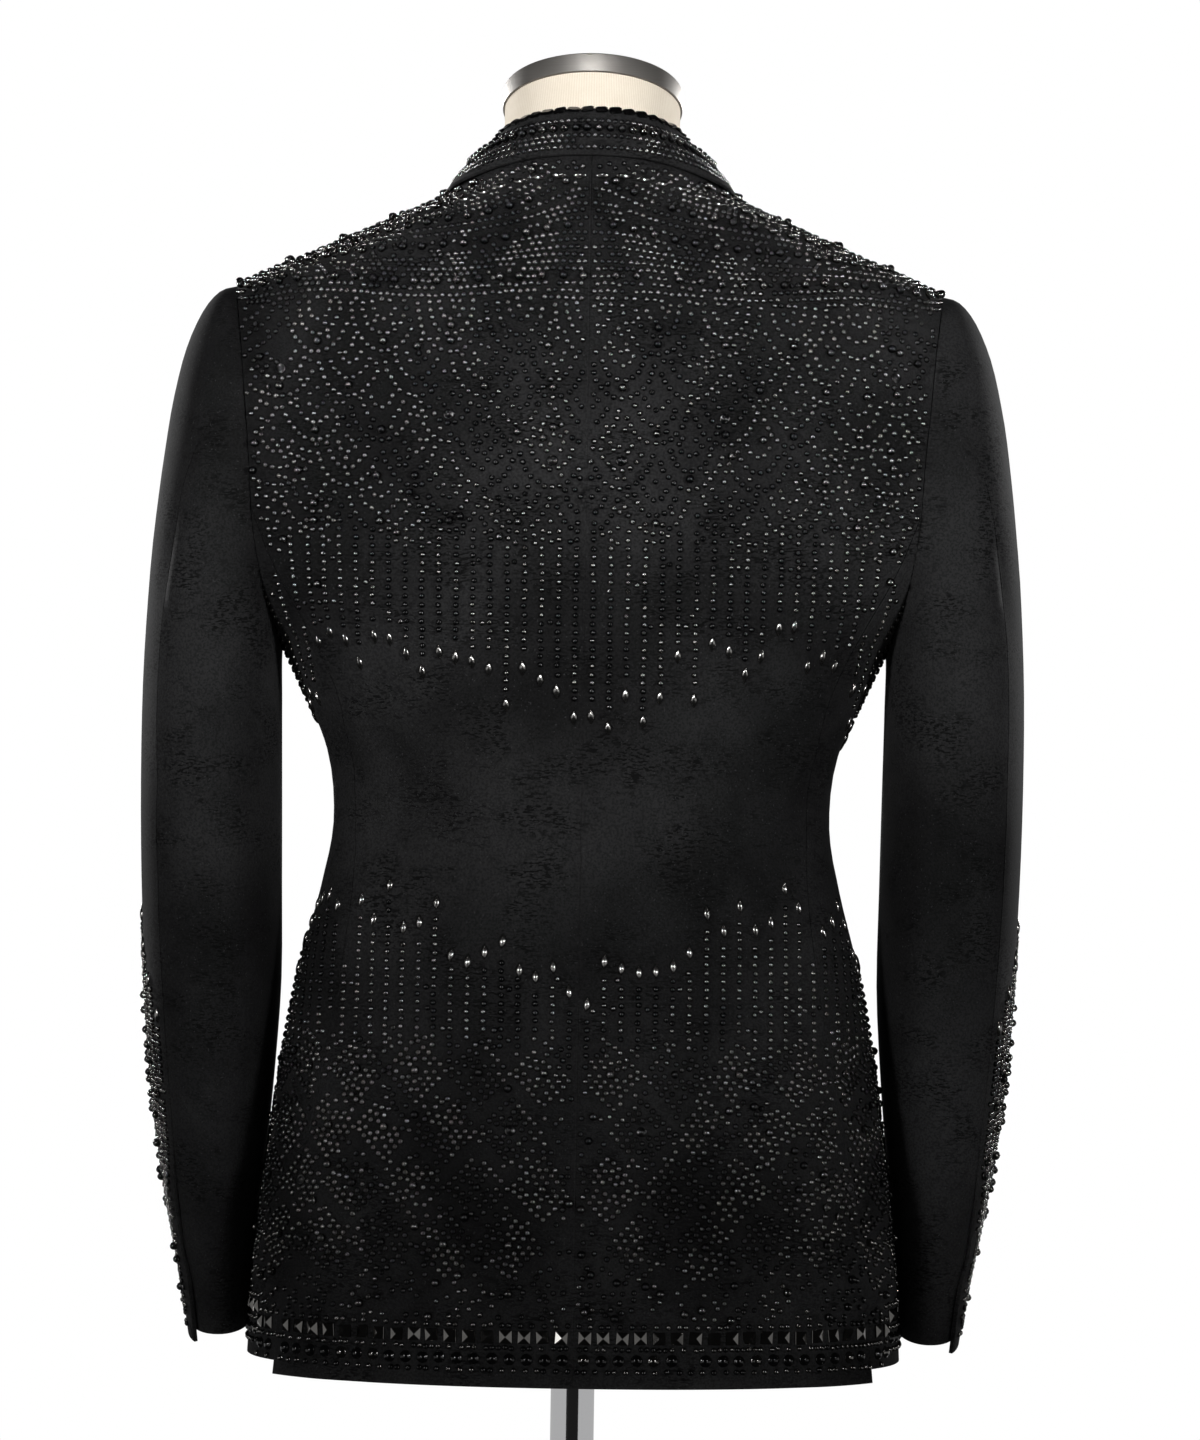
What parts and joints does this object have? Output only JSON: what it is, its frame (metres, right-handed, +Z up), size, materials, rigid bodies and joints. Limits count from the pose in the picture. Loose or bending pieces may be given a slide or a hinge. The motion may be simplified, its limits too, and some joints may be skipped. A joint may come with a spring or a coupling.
{
  "type": "tuxedo jacket on dress form",
  "caption": "Black tuxedo jacket with peak lapels, side vents and beaded back, on a limbless cloth dress form with a chrome pole and round base.",
  "frame": {"origin": "centre of the stand's round base, on its underside where it rests on the floor", "axes": "+Z up along the pole, the jacket's front faces -Y and the wearer's left is +X"},
  "size_m": [0.547, 0.38, 1.5946],
  "materials": {
    "suiting": "matt black jacquard suiting with black beads",
    "satin": "black satin",
    "form_cloth": "natural ribbed cotton",
    "cap_metal": "brushed gunmetal",
    "pole_chrome": "polished chrome",
    "base_steel": "brushed steel"
  },
  "bodies": {
    "root": {"back_left": "suiting", "side_left": "suiting", "front_left": "suiting", "sleeve_top_left": "suiting", "sleeve_under_left": "suiting", "back_right": "suiting", "side_right": "suiting", "front_right": "suiting", "sleeve_top_right": "suiting", "sleeve_under_right": "suiting", "lapel_left": "satin", "lapel_right": "satin", "collar": "suiting", "front_button": "satin", "form_torso": "form_cloth", "neck_cap": "cap_metal", "pole": "pole_chrome", "base": "base_steel"}
  },
  "joints": []
}
